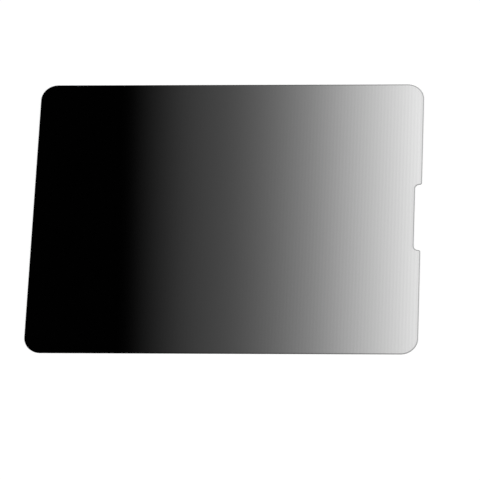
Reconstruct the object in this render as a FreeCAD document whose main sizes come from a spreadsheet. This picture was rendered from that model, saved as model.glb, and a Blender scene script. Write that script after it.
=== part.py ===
"""A privacy filter: one thin sheet of louvred film, die-cut with round corners and a sensor notch.

The sheet lies flat with its back on Z = 0 and its front face up. The origin is the middle of the back face,
+X runs along the long side towards the notched short edge, and +Y points to the far long edge.
All sizes are in millimetres.
"""

import FreeCAD
import Part
import Sketcher

import os

# Driving dimensions

DRIVING_SIZES = (
    ("sheet_width", 277.0, "long side of the sheet, along X"),
    ("sheet_height", 211.0, "short side of the sheet, along Y"),
    ("sheet_thickness", 0.53, "the laminate from back to front"),
    ("corner_radius", 12.0, "round of the four outer corners, seen from the front"),
    ("notch_length", 51.0, "sensor notch from shoulder to shoulder, along Y"),
    ("notch_depth", 4.8, "sensor notch from the short edge to its floor, along X"),
    ("notch_mouth_radius", 1.6, "outer round where the short edge turns into a shoulder"),
    ("notch_shoulder_flat", 0.2, "straight run of a shoulder between its two rounds"),
    ("die_roll_radius", 0.12, "soft front rim, where the cutting die presses the face down"),
)
# How far the notch's cutter passes the short edge. It has no effect on the finished shape.
CUTTER_OVERRUN = 1.0
# Two positions closer than this are the same place
SAME_PLACE = 1e-4

PARTS_FOLDER = "parts"


def make_size_sheet(doc):
    """A spreadsheet with one aliased cell for each driving dimension."""
    sizes = doc.addObject("Spreadsheet::Sheet", "sizes")
    for row, (alias, value, meaning) in enumerate(DRIVING_SIZES, start=1):
        sizes.set(f"A{row}", alias)
        sizes.set(f"B{row}", str(value))
        sizes.set(f"C{row}", meaning)
        sizes.setAlias(f"B{row}", alias)
    doc.recompute()
    return sizes


# Sketches


def add_flat_sketch(body, name):
    """A sketch of the body on its own XY plane, which is the back of the sheet."""
    sketch = body.newObject("Sketcher::SketchObject", name)
    plane = next(f for f in body.Origin.OriginFeatures if f.Role == "XY_Plane")
    sketch.AttachmentSupport = [(plane, "")]
    sketch.MapMode = "FlatFace"
    return sketch


def draw_rectangle(sketch, left, bottom, right, top):
    """Four joined lines, level and upright: 0 is the bottom, 1 the right, 2 the top and 3 the left side."""
    corners = [(left, bottom), (right, bottom), (right, top), (left, top)]
    points = [FreeCAD.Vector(x, y, 0) for x, y in corners]
    for side in range(4):
        line = Part.LineSegment(points[side], points[(side + 1) % 4])
        sketch.addGeometry(line)
    for side in range(4):
        sketch.addConstraint(Sketcher.Constraint("Coincident", side, 2, (side + 1) % 4, 1))
    for side in (0, 2):
        sketch.addConstraint(Sketcher.Constraint("Horizontal", side))
        sketch.addConstraint(Sketcher.Constraint("Vertical", side + 1))


def drive(sketch, name, constraint, expression):
    """Adds a dimension to a sketch and ties it to the size sheet."""
    index = sketch.addConstraint(constraint)
    sketch.renameConstraint(index, name)
    sketch.setExpression(f"Constraints.{name}", expression)


def sketch_blank(body, sizes):
    """The uncut rectangle, centred on the origin."""
    half_width = sizes.sheet_width / 2
    half_height = sizes.sheet_height / 2
    sketch = add_flat_sketch(body, "blank_outline")
    draw_rectangle(sketch, -half_width, -half_height, half_width, half_height)
    sketch.addConstraint(Sketcher.Constraint("Symmetric", 0, 1, 2, 1, -1, 1))
    width = Sketcher.Constraint("DistanceX", 0, 1, 0, 2, sizes.sheet_width)
    height = Sketcher.Constraint("DistanceY", 1, 1, 1, 2, sizes.sheet_height)
    drive(sketch, "width", width, "sizes.sheet_width")
    drive(sketch, "height", height, "sizes.sheet_height")
    return sketch


def sketch_notch(body, sizes):
    """The notch's cutter: a rectangle across the +X edge, even about the X axis."""
    edge = sizes.sheet_width / 2
    half_length = sizes.notch_length / 2
    floor = edge - sizes.notch_depth
    outside = edge + CUTTER_OVERRUN
    sketch = add_flat_sketch(body, "notch_outline")
    draw_rectangle(sketch, floor, -half_length, outside, half_length)
    length = Sketcher.Constraint("DistanceY", 1, 1, 1, 2, sizes.notch_length)
    shoulder_place = Sketcher.Constraint("DistanceY", -1, 1, 1, 2, half_length)
    floor_place = Sketcher.Constraint("DistanceX", -1, 1, 3, 2, floor)
    outer_place = Sketcher.Constraint("DistanceX", -1, 1, 1, 1, outside)
    drive(sketch, "length", length, "sizes.notch_length")
    drive(sketch, "shoulder_place", shoulder_place, "sizes.notch_length / 2")
    drive(sketch, "floor_place", floor_place, "sizes.sheet_width / 2 - sizes.notch_depth")
    drive(sketch, "outer_place", outer_place, f"sizes.sheet_width / 2 + {CUTTER_OVERRUN}")
    return sketch


# Picking edges by where they are


def upright_edges(shape, places):
    """Names of the edges that run along Z at the given (x, y) places."""
    names = []
    for number, edge in enumerate(shape.Edges, start=1):
        box = edge.BoundBox
        if box.XLength > SAME_PLACE or box.YLength > SAME_PLACE:
            continue
        for x, y in places:
            if abs(box.XMin - x) < SAME_PLACE and abs(box.YMin - y) < SAME_PLACE:
                names.append(f"Edge{number}")
    return names


def edges_at_height(shape, height):
    """Names of the edges that lie wholly at one height."""
    names = []
    for number, edge in enumerate(shape.Edges, start=1):
        box = edge.BoundBox
        if box.ZLength < SAME_PLACE and abs(box.ZMin - height) < SAME_PLACE:
            names.append(f"Edge{number}")
    return names


def round_edges(body, name, base, edge_names, radius):
    """A fillet on the named edges of a feature, with its radius tied to the size sheet."""
    fillet = body.newObject("PartDesign::Fillet", name)
    fillet.Base = (base, edge_names)
    fillet.setExpression("Radius", radius)
    body.Document.recompute()
    return fillet


# The sheet


def make_filter_sheet(doc, sizes):
    """The film: a blank, notched on its +X edge, then rounded at its corners, its notch and its front rim."""
    body = doc.addObject("PartDesign::Body", "filter_sheet")
    body.Label = "filter_sheet"

    blank = body.newObject("PartDesign::Pad", "blank")
    blank.Profile = sketch_blank(body, sizes)
    blank.setExpression("Length", "sizes.sheet_thickness")
    doc.recompute()

    notch = body.newObject("PartDesign::Pocket", "sensor_notch")
    notch.Profile = sketch_notch(body, sizes)
    notch.Type = "ThroughAll"
    notch.Reversed = True
    doc.recompute()

    right = sizes.sheet_width / 2
    top = sizes.sheet_height / 2
    shoulder = sizes.notch_length / 2
    floor = right - sizes.notch_depth
    outer_corners = [(-right, -top), (right, -top), (right, top), (-right, top)]
    mouth_corners = [(right, -shoulder), (right, shoulder)]
    floor_corners = [(floor, -shoulder), (floor, shoulder)]

    # The three sets of upright edges keep apart, so each fillet finds its own on the shape before it
    corners = round_edges(
        body, "corner_rounds", notch, upright_edges(notch.Shape, outer_corners), "sizes.corner_radius"
    )
    mouth = round_edges(
        body, "notch_mouth_rounds", corners, upright_edges(corners.Shape, mouth_corners),
        "sizes.notch_mouth_radius",
    )
    # What the mouth round and the flat leave of the depth is the floor round, so a shoulder is one smooth S
    floor_rounds = round_edges(
        body, "notch_floor_rounds", mouth, upright_edges(mouth.Shape, floor_corners),
        "sizes.notch_depth - sizes.notch_mouth_radius - sizes.notch_shoulder_flat",
    )
    rim = edges_at_height(floor_rounds.Shape, sizes.sheet_thickness)
    round_edges(body, "die_roll", floor_rounds, rim, "sizes.die_roll_radius")
    return body


def check_document(doc, bodies):
    """Stops the build if any object failed, or a sub-part isn't one sound solid."""
    for item in doc.Objects:
        if "Invalid" in item.State or "Error" in item.State:
            raise RuntimeError(f"{item.Name} failed: {item.State}")
    for body in bodies:
        shape = body.Shape
        if shape.isNull() or not shape.isValid() or len(shape.Solids) != 1:
            raise RuntimeError(f"{body.Label} isn't one sound solid")


def write_steps(bodies):
    """One STEP file for each sub-part, named by its label."""
    os.makedirs(PARTS_FOLDER, exist_ok=True)
    for body in bodies:
        body.Shape.exportStep(os.path.join(PARTS_FOLDER, f"{body.Label}.step"))


def main():
    doc = FreeCAD.newDocument("privacy_filter")
    sizes = make_size_sheet(doc)
    bodies = [make_filter_sheet(doc, sizes)]
    doc.recompute()
    check_document(doc, bodies)
    write_steps(bodies)
    for body in bodies:
        box = body.Shape.optimalBoundingBox(False, False)
        print(body.Label, f"{box.XLength:.2f} x {box.YLength:.2f} x {box.ZLength:.2f} mm,", end=" ")
        print(f"{body.Shape.Volume:.1f} mm3, {len(body.Shape.Faces)} faces")


main()
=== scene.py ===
# %% [markdown]
# # A privacy filter
# A privacy filter is a thin sheet of film with thousands of fine black slats inside it, all standing
# on edge, like a blind that can't be turned. Straight ahead, light passes between the slats. From the
# side they close up, and the film goes black. This lesson takes the solid sheet that the frame
# brings, models it again with smoother rounds and a finished rim, paints the slats' shade onto it as
# a fixed fade from black to nearly clear, and sets it in a pale studio.
#
# The frame comes first. It holds the sheet at its real size and place, and nothing here moves it.

# %% Load the frame
import math

import bmesh
import bpy
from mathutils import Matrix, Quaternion, Vector


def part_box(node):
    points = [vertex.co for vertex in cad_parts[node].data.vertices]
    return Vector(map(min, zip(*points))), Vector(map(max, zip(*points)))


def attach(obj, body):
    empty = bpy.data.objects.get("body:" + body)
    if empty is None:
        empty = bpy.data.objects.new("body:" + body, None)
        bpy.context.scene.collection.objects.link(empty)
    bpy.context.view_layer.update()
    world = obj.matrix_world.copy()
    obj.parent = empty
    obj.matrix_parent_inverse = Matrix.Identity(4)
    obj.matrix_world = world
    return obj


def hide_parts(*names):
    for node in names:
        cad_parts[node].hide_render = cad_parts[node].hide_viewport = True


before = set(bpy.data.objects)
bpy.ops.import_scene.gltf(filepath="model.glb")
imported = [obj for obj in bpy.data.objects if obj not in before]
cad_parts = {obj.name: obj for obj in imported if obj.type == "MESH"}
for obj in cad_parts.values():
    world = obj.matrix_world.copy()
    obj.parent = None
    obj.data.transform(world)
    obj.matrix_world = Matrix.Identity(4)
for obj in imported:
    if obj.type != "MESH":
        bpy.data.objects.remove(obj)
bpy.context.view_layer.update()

# Blender works in metres, so a length in millimetres is written as a number times MM
MM = 0.001
print("nodes:", sorted(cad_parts))

# %% [markdown]
# ## Reading the die line
# The sheet is cut by a steel rule die, so one closed line says everything about its outline: two long
# edges, a plain short edge, a short edge with a notch, and the rounds between them. The numbers could
# be typed in again, but then two files would have to agree. The solid still has the die line on its
# back face, so these cells read the sizes from there. The front face is a little smaller all round,
# by the soft rim that the die leaves.

# %% Collect the solid's points
NODE = "filter_sheet"
SAME_PLACE = 0.001 * MM
# Seven decimals of a metre are a tenth of a micrometre
DECIMALS = 7
# The origin is the middle of the back face, so the sizes are those of the box's highest corner
half_width, half_height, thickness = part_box(NODE)[1]


def points_at(height):
    """The different points of the solid's mesh at one height, as (x, y)."""
    corners = [corner.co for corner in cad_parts[NODE].data.vertices]
    level = [corner for corner in corners if abs(corner.z - height) < SAME_PLACE]
    return sorted({(round(point.x, DECIMALS), round(point.y, DECIMALS)) for point in level})


back_points = points_at(0)
front_points = points_at(thickness)
print(len(back_points), "points on the die line and", len(front_points), "on the front")

# %% Measure the corners and the rim
corner_radius = half_width - max(x for x, y in back_points if y > half_height - SAME_PLACE)
die_roll = half_width - max(x for x, y in front_points)
print(f"corner radius {corner_radius / MM:.2f} mm, soft front rim {die_roll / MM:.2f} mm")

# %% [markdown]
# A shoulder of the notch is one S: an outer round at the mouth, a short flat, and an inner round at
# the floor. Going in from the mouth to the floor, Y falls all the way except along the flat, so only
# the flat's two ends have the same Y at different X. That Y is the shoulder's line, and each round's
# radius is the way from its far end to that line.

# %% Measure the notch
mouth_y = min(y for x, y in back_points if x > half_width - SAME_PLACE and y > 0)
floor_x = min(x for x, y in back_points if x > 0 and abs(y) < mouth_y)
floor_y = max(y for x, y in back_points if abs(x - floor_x) < SAME_PLACE)
shoulder = [(x, y) for x, y in back_points if x > floor_x and floor_y < y < mouth_y]
pairs = [(one, other) for one in shoulder for other in shoulder if other[0] - one[0] > SAME_PLACE]
shoulder_y = next(one[1] for one, other in pairs if abs(other[1] - one[1]) < SAME_PLACE)
notch_depth = half_width - floor_x
mouth_radius = mouth_y - shoulder_y
floor_radius = shoulder_y - floor_y
print(f"notch {2 * shoulder_y / MM:.2f} x {notch_depth / MM:.2f} mm,", end=" ")
print(f"mouth round {mouth_radius / MM:.2f} mm, floor round {floor_radius / MM:.2f} mm")

# %% [markdown]
# ## The blank
# The sheet starts as a plane that reaches one unit each way from its middle, so scaling it by the
# half sizes gives the sheet's two sides. Most operators then act on what is selected. In the window a
# modeller clicks on it. A script has no mouse, so a small function selects the corners, edges or
# faces whose middle passes a test, and says how many there were, which shows at once when a test is
# wrong.

# %% Draw the blank
bpy.ops.object.select_all(action="DESELECT")
bpy.ops.mesh.primitive_plane_add(size=2, location=(0, 0, 0), enter_editmode=True)
film = bpy.context.edit_object
film.name = "louvre_film_sheet"
bpy.ops.transform.resize(value=(half_width, half_height, 1))
print(f"blank of {2 * half_width / MM:.1f} x {2 * half_height / MM:.1f} mm")

# %% A helper that selects by place


def pick(kind, test):
    """Selects, in edit mode, only the elements of one kind whose middle point passes a test."""
    bpy.ops.mesh.select_mode(type=kind)
    bpy.ops.mesh.select_all(action="DESELECT")
    mesh = bpy.context.edit_object.data
    shape = bmesh.from_edit_mesh(mesh)
    elements = {"VERT": shape.verts, "EDGE": shape.edges, "FACE": shape.faces}[kind]
    found = 0
    for element in elements:
        corners = [element] if kind == "VERT" else element.verts
        middle = sum((corner.co for corner in corners), Vector()) / len(corners)
        if test(middle):
            element.select_set(True)
            found += 1
    shape.select_flush_mode()
    bmesh.update_edit_mesh(mesh)
    return found


print("the blank has", pick("VERT", lambda point: True), "corners")

# %% [markdown]
# ## The notch
# The notch leaves room for what has to look out past the film. It could be cut out with a boolean,
# which leaves a mesh to clean up. It is simpler to give the short edge four more corners, spread them
# to the notch's shoulders, and push the middle two in: the face stays one polygon, and its outline is
# the die line with sharp corners.

# %% Push in the notch
NOTCH_CORNERS = 4
pick("EDGE", lambda middle: middle.x > half_width - SAME_PLACE)
bpy.ops.mesh.subdivide(number_cuts=NOTCH_CORNERS)
# Subdivide spaces the new corners evenly, so one pair is 3/5 and the other 1/5 of the way up
outer_pair = half_height * 3 / (NOTCH_CORNERS + 1)
inner_pair = half_height * 1 / (NOTCH_CORNERS + 1)
for pair_y, pushed_in in ((outer_pair, 0), (inner_pair, notch_depth)):
    found = pick("VERT", lambda point: point.x > 0 and abs(abs(point.y) - pair_y) < SAME_PLACE)
    bpy.ops.transform.resize(value=(1, shoulder_y / pair_y, 1), center_override=(0, 0, 0))
    bpy.ops.transform.translate(value=(-pushed_in, 0, 0))
    print(f"moved {found} notch corners to the shoulders, {pushed_in / MM:.2f} mm in")

# %% [markdown]
# ## Rounding the die line
# The arcs could be worked out point by point with sines and cosines. A bevel does that by itself: on
# single corners, instead of on edges, it turns a sharp corner of a flat face into an arc, with the
# bevel's offset as its radius. The outer corners, the notch's mouth and the foot of its shoulders
# each have a radius of their own, so they are bevelled in turn. The number of segments keeps every
# chord under a millimetre, so the outline looks round from close by.

# %% Round the corners
CORNER_STEPS = 24
NOTCH_STEPS = 8
# How far a bevel bulges: this much makes it part of a circle
CIRCLE = 0.5


def round_corners(test, radius, steps):
    """Bevels the picked corners of the flat sheet to arcs."""
    found = pick("VERT", test)
    bpy.ops.mesh.bevel(
        offset=radius, segments=steps, profile=CIRCLE, affect="VERTICES", clamp_overlap=False
    )
    print(f"rounded {found} corners to {radius / MM:.2f} mm")


def on_shoulder(point):
    """True on the two lines that the notch's shoulders follow."""
    return point.x > 0 and abs(abs(point.y) - shoulder_y) < SAME_PLACE


def at_mouth(point):
    """True at the two corners where the notch opens."""
    return on_shoulder(point) and point.x > half_width - SAME_PLACE


def at_floor(point):
    """True at the two corners where the shoulders meet the notch's floor."""
    return on_shoulder(point) and point.x < floor_x + SAME_PLACE


round_corners(lambda point: abs(point.y) > half_height - SAME_PLACE, corner_radius, CORNER_STEPS)
round_corners(at_mouth, mouth_radius, NOTCH_STEPS)
round_corners(at_floor, floor_radius, NOTCH_STEPS)

# %% [markdown]
# ## Thickness and rim
# A Solidify modifier could thicken the face. Extruding it upwards does the same, and the front edges
# can be picked at once. The die presses the front down a little before it cuts through, so the front
# rim is soft and the back edge is sharp: a small bevel on the front edges alone. Then the front face
# is inset by a narrow band, which lets less light through than the face: the fine dark line that runs
# round the sheet.

# %% Raise the sheet and roll its rim
ROLL_STEPS = 5
CUT_BAND = 0.55 * MM
bpy.ops.mesh.select_all(action="SELECT")
bpy.ops.mesh.extrude_region_move(TRANSFORM_OT_translate={"value": (0, 0, thickness)})
bpy.ops.mesh.select_all(action="SELECT")
bpy.ops.mesh.normals_make_consistent(inside=False)
rim_edges = pick("EDGE", lambda middle: middle.z > thickness - SAME_PLACE)
bpy.ops.mesh.bevel(
    offset=die_roll, segments=ROLL_STEPS, profile=CIRCLE, affect="EDGES", clamp_overlap=False
)
pick("FACE", lambda middle: middle.z > thickness - SAME_PLACE)
bpy.ops.mesh.inset(thickness=CUT_BAND, use_even_offset=True)
bpy.ops.object.mode_set(mode="OBJECT")
print(f"rolled {rim_edges} rim edges; the sheet has {len(film.data.polygons)} faces")

# %% [markdown]
# ## Colours and nodes
# Colours are written as sRGB hex, as a picker shows them, and a shader wants linear light, so one
# function turns the one into the other. A second function adds a node with its settings and its links
# in one call, so that a material below reads from top to bottom.

# %% Helpers for materials


def linear(hex_colour):
    """A colour such as #1a1a1c as linear red, green, blue and alpha."""
    channels = [int(hex_colour[start:start + 2], 16) / 255 for start in (1, 3, 5)]
    return [c / 12.92 if c <= 0.04045 else ((c + 0.055) / 1.055) ** 2.4 for c in channels] + [1]


def add_node(tree, kind, inputs=None, **settings):
    """Adds a node. Settings are its own properties, and an input is a value or a node's output."""
    node = tree.nodes.new(kind)
    for name, value in settings.items():
        setattr(node, name, value)
    for name, value in (inputs or {}).items():
        if isinstance(value, bpy.types.NodeSocket):
            tree.links.new(value, node.inputs[name])
        else:
            node.inputs[name].default_value = value
    return node


def new_material(name):
    """An empty node material, with its output node."""
    material = bpy.data.materials.new(name)
    material.use_nodes = True
    material.node_tree.nodes.clear()
    return material, add_node(material.node_tree, "ShaderNodeOutputMaterial")


print("the grey #808080 sends back", round(linear("#808080")[0], 2), "of the light")

# %% [markdown]
# ## The fade
# Seen from one side, as here, the slats are shut at the plain short edge and open little by little
# towards the notched one, so the sheet fades from black to nearly clear; that black is the slats'
# shade. A real film's fade moves with the viewer. A material that asks where the viewer stands would
# be lost when the part is handed on, so the fade is painted onto the sheet as fixed shade, as one
# look at it.
#
# What the eye sees is a see-through black, so the film is black and its alpha does the work. The fade
# is a curve over the distance along the sheet, in greys as the eye judges them, and a power turns
# grey into light. Light crosses the front face and the back face, so each takes the square root of
# the tint.

# %% Fade along the sheet
# The fade is painted shade: the black of slats closing up as seen from the side, fixed to the sheet
FADE_START = -78 * MM
FADE_END = 138 * MM
# The lines of equal grey lean by this much from the short edges
FADE_TURN = math.radians(2.3)
# Share of the way along the fade, and the grey that a white page shows through the film there
FADE_GREYS = ((0, 0), (0.2, 0.22), (0.4, 0.34), (0.6, 0.51), (0.8, 0.72), (1, 0.9))
GREY_TO_LIGHT = 2.2
FACES_CROSSED = 2


def add_fade(tree, place):
    """How much light one face of the film lets through, from 0 to 1, by the place along the sheet."""
    turned = add_node(tree, "ShaderNodeMapping", {"Vector": place, "Rotation": (0, 0, -FADE_TURN)})
    along = add_node(tree, "ShaderNodeSeparateXYZ", {"Vector": turned.outputs["Vector"]}).outputs["X"]
    span = {"Value": along, "From Min": FADE_START, "From Max": FADE_END}
    share = add_node(tree, "ShaderNodeMapRange", span).outputs["Result"]
    curve = add_node(tree, "ShaderNodeFloatCurve", {"Value": share})
    points = curve.mapping.curves[0].points
    points[0].location = FADE_GREYS[0]
    points[1].location = FADE_GREYS[-1]
    for share_along, grey in FADE_GREYS[1:-1]:
        points.new(share_along, grey)
    curve.mapping.update()
    power = {0: curve.outputs["Value"], 1: GREY_TO_LIGHT / FACES_CROSSED}
    return add_node(tree, "ShaderNodeMath", power, operation="POWER").outputs["Value"]


print(f"black up to x = {FADE_START / MM:.0f} mm, clearest at x = {FADE_END / MM:.0f} mm")

# %% [markdown]
# ## The slats
# Close to, a louvre film is a ruling of upright lines, which run from one long edge to the other,
# across the fade. They could be modelled as thin walls, but there are thousands, each finer than a
# hair. A wave texture in bands draws them instead. The real ones are finer than a pixel too, so the
# drawn ones are coarser, and faint.

# %% Lines of the slats
REAL_PITCH = 0.06 * MM
# Slats and grit alike are drawn this many times as coarse as they are, or they wouldn't show
DRAWN_COARSER = 40
LOUVRE_PITCH = DRAWN_COARSER * REAL_PITCH
LOUVRE_SHADE = 0.016
# How far apart the bands of a wave texture lie at a scale of 1
BAND_SPACING = 2 * math.pi / 20


def add_louvres(tree, place):
    """The share of light that passes the slats, 1 between two of them and a little less at each."""
    ruling = {"Vector": place, "Scale": BAND_SPACING / LOUVRE_PITCH}
    wave = add_node(tree, "ShaderNodeTexWave", ruling, wave_type="BANDS", bands_direction="X")
    passed = {"Value": wave.outputs["Fac"], "To Min": 1 - LOUVRE_SHADE, "To Max": 1}
    return add_node(tree, "ShaderNodeMapRange", passed).outputs["Result"]


print(f"a line every {LOUVRE_PITCH / MM:.1f} mm, {2 * half_width / LOUVRE_PITCH:.0f} in all,", end=" ")
print(f"for {2 * half_width / REAL_PITCH:.0f} real ones")

# %% [markdown]
# ## The coat
# The front has an acrylic hard coat with fine grit in it, which blurs what it mirrors. A noise
# texture makes the roughness vary from grain to grain. A laminate is never quite flat either: what it
# mirrors swims a little as the head moves. A second, wide noise tilts the normal by that much, which
# is far too little to be a shape.

# %% Grit and waviness
REAL_GRIT = 0.03 * MM
COAT_GRIT = DRAWN_COARSER * REAL_GRIT
SWELL_LENGTH = 60 * MM
SWELL_HEIGHT = 0.02 * MM
# Most values of a noise texture lie between these two
NOISE_LOW = 0.3
NOISE_HIGH = 0.7


def add_grit(tree, place, smoothest, roughest):
    """A roughness that varies from grain to grain of a coat."""
    grain = add_node(tree, "ShaderNodeTexNoise", {"Vector": place, "Scale": 1 / COAT_GRIT})
    span = {"Value": grain.outputs["Fac"], "From Min": NOISE_LOW, "From Max": NOISE_HIGH}
    span.update({"To Min": smoothest, "To Max": roughest})
    return add_node(tree, "ShaderNodeMapRange", span).outputs["Result"]


def add_waviness(tree, place):
    """The normal of a face that isn't quite flat."""
    # Little detail keeps the swells smooth
    wide = {"Vector": place, "Scale": 1 / SWELL_LENGTH, "Detail": 1}
    swell = add_node(tree, "ShaderNodeTexNoise", wide)
    bump = add_node(tree, "ShaderNodeBump", {"Height": swell.outputs["Fac"], "Distance": SWELL_HEIGHT})
    return bump.outputs["Normal"]


print(f"grit of {COAT_GRIT / MM:.1f} mm,", end=" ")
print(f"swells {SWELL_LENGTH / MM:.0f} mm long and {SWELL_HEIGHT / MM:.2f} mm high")

# %% [markdown]
# ## Three finishes
# One function makes the film, and three calls of it make what is the same film with other surfaces:
# the coated front, the cut edge and the tacky back. A number that is the same all over goes straight
# onto the shader's socket.

# %% The film's material
FILM_BLACK = "#010101"
# Acrylic, and the silicone on the back is close to it
COAT_IOR = 1.49
# The grit scatters about half of what a smooth coat, at 0.5, would send back
COAT_MIRROR = 0.25


def make_film(name, clearness, smoothest, roughest):
    """Black polyester that lets light through as the fade and the slats say, times a clearness."""
    material, output = new_material(name)
    tree = material.node_tree
    place = add_node(tree, "ShaderNodeTexCoord").outputs["Object"]
    # The fade is the slats' painted shade; the faint lines are the slats' own ruling
    shares = {0: add_fade(tree, place), 1: add_louvres(tree, place)}
    passed = add_node(tree, "ShaderNodeMath", shares, operation="MULTIPLY").outputs["Value"]
    # Alpha is 1 - passed * clearness, which one node works out as passed * -clearness + 1
    opaque = {0: passed, 1: -clearness, 2: 1}
    hidden = add_node(tree, "ShaderNodeMath", opaque, operation="MULTIPLY_ADD").outputs["Value"]
    surface = {
        "Base Color": linear(FILM_BLACK),
        "Roughness": add_grit(tree, place, smoothest, roughest),
        "Normal": add_waviness(tree, place),
        "IOR": COAT_IOR,
        "Specular IOR Level": COAT_MIRROR,
        "Alpha": hidden,
    }
    shader = add_node(tree, "ShaderNodeBsdfPrincipled", surface)
    tree.links.new(shader.outputs["BSDF"], output.inputs["Surface"])
    print("made", name)
    return material


# %% Make the three finishes
FACE_CLEARNESS = 1
EDGE_CLEARNESS = 0.55
finishes = (
    # Polyester under a roll-coated acrylic hard coat: satin, with a soft blurred mirror image
    make_film("hard_coated_louvre_polyester", FACE_CLEARNESS, smoothest=0.2, roughest=0.28),
    # Polyester at the cut edge and the narrow band round the front: dull, and darker than the face
    make_film("die_cut_louvre_polyester", EDGE_CLEARNESS, smoothest=0.35, roughest=0.5),
    # Soft silicone cast on the back so that it clings and peels: almost matt
    make_film("silicone_tack_coat", FACE_CLEARNESS, smoothest=0.4, roughest=0.5),
)
for finish in finishes:
    film.data.materials.append(finish)

# %% [markdown]
# ## Dressing the sheet
# A mesh has a list of materials, and each face says by a number which of them it wears. The sheet's
# faces are easy to tell apart: the back lies at height 0, the front is by far the largest of the
# others, and all the rest, the wall, the rim and the narrow band, belong to the cut edge.

# %% Give each face its finish
# Places of the three finishes in the sheet's list
FRONT, EDGE, BACK = range(3)
quarter_sheet = half_width * half_height
for face in film.data.polygons:
    face.material_index = EDGE
    if face.center.z < SAME_PLACE:
        face.material_index = BACK
    elif face.area > quarter_sheet:
        face.material_index = FRONT
given = [face.material_index for face in film.data.polygons]
print("faces of front, edge and back:", [given.count(finish) for finish in (FRONT, EDGE, BACK)])

# %% [markdown]
# Smooth shading hides the facets of the rounds, but over the sharp back edge it would smear. So only
# edges that turn less than a set angle are smoothed. Then the sheet joins the frame: it rides on the
# only body, and the solid sheet that it stands for is hidden.

# %% Put the film in the frame
SMOOTH_BELOW = math.radians(35)
bpy.ops.object.select_all(action="DESELECT")
film.select_set(True)
bpy.context.view_layer.objects.active = film
bpy.ops.object.shade_smooth_by_angle(angle=SMOOTH_BELOW)
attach(film, "root")
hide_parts(NODE)
print(film.name, "stands for", NODE)

# %% [markdown]
# ## The pale studio
# The sheet lies on a white floor. Lamps bright enough to make the floor pure white would be too
# bright for the sheet, so the floor is a matt grey that takes the sheet's shadow, with some light of
# its own. It lies a hair below the sheet, because two faces at one height flicker.

# %% Floor
# In metres: past the floor's far edge, the horizon is white too
FLOOR_SIDE = 24
FLOOR_DROP = 0.1 * MM
bpy.ops.object.select_all(action="DESELECT")
bpy.ops.mesh.primitive_plane_add(size=FLOOR_SIDE, location=(0, 0, -FLOOR_DROP))
floor = bpy.context.object
floor.name = "studio_floor"
print(f"floor {FLOOR_DROP / MM:.1f} mm below the sheet")

# %% [markdown]
# A Light Path node tells what kind of ray has met a surface. The floor gives its own light to rays
# from the camera, and to those that were mirrored or went through glass, but not to the soft light
# that it throws back onto the sheet.

# %% White paper for the floor
FLOOR_GREY = "#8a8a8a"
FLOOR_OWN_LIGHT = 0.8
floor_material, floor_output = new_material("white_paper")
tree = floor_material.node_tree
paper = add_node(tree, "ShaderNodeBsdfDiffuse", {"Color": linear(FLOOR_GREY)})
path = add_node(tree, "ShaderNodeLightPath").outputs
seen = path["Is Camera Ray"]
for kind in ("Is Glossy Ray", "Is Transmission Ray"):
    either = add_node(tree, "ShaderNodeMath", {0: seen, 1: path[kind]}, operation="MAXIMUM")
    seen = either.outputs["Value"]
own_light = add_node(tree, "ShaderNodeMath", {0: seen, 1: FLOOR_OWN_LIGHT}, operation="MULTIPLY")
glow = add_node(tree, "ShaderNodeEmission", {"Strength": own_light.outputs["Value"]})
both = add_node(tree, "ShaderNodeAddShader", {0: paper.outputs["BSDF"], 1: glow.outputs["Emission"]})
tree.links.new(both.outputs["Shader"], floor_output.inputs["Surface"])
floor.data.materials.append(floor_material)
print("floor of", floor_material.name)

# %% [markdown]
# ## World and lamps
# A black satin sheet mirrors whatever is above it, and a white sky or a lamp would lie over it as a
# grey veil. A photographer hangs a dark cloth overhead, and moves the lamps until the sheet no longer
# mirrors them. The world does the same: it is white at the horizon, darkens quickly going up, and is
# black overhead. Two large soft lamps stand at the sides. The sheet is looked at from all sides, so
# no place would do for them, and they are hidden from mirror rays instead.

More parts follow.
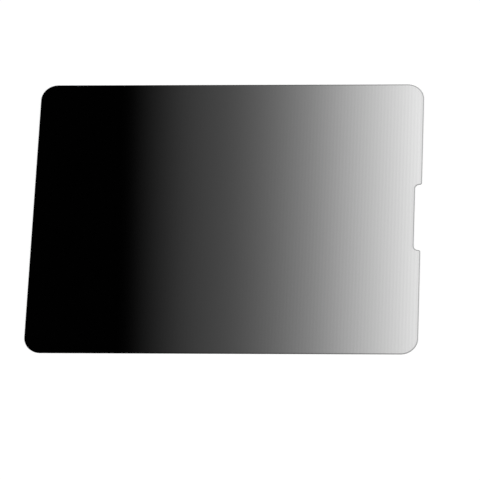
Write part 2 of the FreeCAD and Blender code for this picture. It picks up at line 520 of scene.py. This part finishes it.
# %% World
# The height of a direction is 0 at the horizon and 1 straight up
BLACK_ABOVE = 0.7
SKY_FALL = 4
world = bpy.data.worlds.new("pale_studio")
bpy.context.scene.world = world
world.use_nodes = True
tree = world.node_tree
tree.nodes.clear()
direction = add_node(tree, "ShaderNodeTexCoord").outputs["Generated"]
height = add_node(tree, "ShaderNodeSeparateXYZ", {"Vector": direction}).outputs["Z"]
below_black = {"Value": height, "From Min": 0, "From Max": BLACK_ABOVE, "To Min": 1, "To Max": 0}
paleness = add_node(tree, "ShaderNodeMapRange", below_black).outputs["Result"]
strength = add_node(tree, "ShaderNodeMath", {0: paleness, 1: SKY_FALL}, operation="POWER")
background = add_node(tree, "ShaderNodeBackground", {"Strength": strength.outputs["Value"]})
add_node(tree, "ShaderNodeOutputWorld", {"Surface": background.outputs["Background"]})
print(f"black sky from {math.degrees(math.asin(BLACK_ABOVE)):.0f} degrees above the horizon")

# %% Lamps
LAMP_SIDE = 1.2
LAMP_WATTS = 50
LAMP_PLACES = {"left_softbox": (-1.9, -0.6, 1.2), "right_softbox": (1.9, -0.4, 1.2)}
for name, place in LAMP_PLACES.items():
    bpy.ops.object.light_add(type="AREA", location=place)
    lamp = bpy.context.object
    lamp.name = name
    lamp.data.size = LAMP_SIDE
    lamp.data.energy = LAMP_WATTS
    lamp.visible_glossy = False
    lamp.rotation_euler = Vector(place).to_track_quat("Z", "Y").to_euler()
    print(f"{name}: {LAMP_WATTS} W, {Vector(place).length:.2f} m from the sheet")

# %% [markdown]
# ## Camera
# A long lens far away keeps the sheet's edges almost parallel. The camera stands a little to the
# right, looks down steeply, and is turned about its own line of sight, so that the long edges run
# level in the picture.

# %% Camera
AZIMUTH = math.radians(13)
ELEVATION = math.radians(64.4)
ROLL = math.radians(-11.7)
DISTANCE = 2.76
TARGET = Vector((10.65, -17.7, 0)) * MM
LENS_MM = 292.5
to_camera = Vector((math.sin(AZIMUTH), -math.cos(AZIMUTH), 0)) * math.cos(ELEVATION)
to_camera.z = math.sin(ELEVATION)
bpy.ops.object.camera_add(location=TARGET + to_camera * DISTANCE)
camera = bpy.context.object
camera.name = "photo_camera"
camera.data.lens = LENS_MM
camera.rotation_mode = "QUATERNION"
camera.rotation_quaternion = (-to_camera).to_track_quat("-Z", "Y") @ Quaternion((0, 0, 1), ROLL)
bpy.context.scene.camera = camera
bpy.context.scene.view_settings.view_transform = "Standard"
print("camera at", [round(value, 3) for value in camera.location], "m")
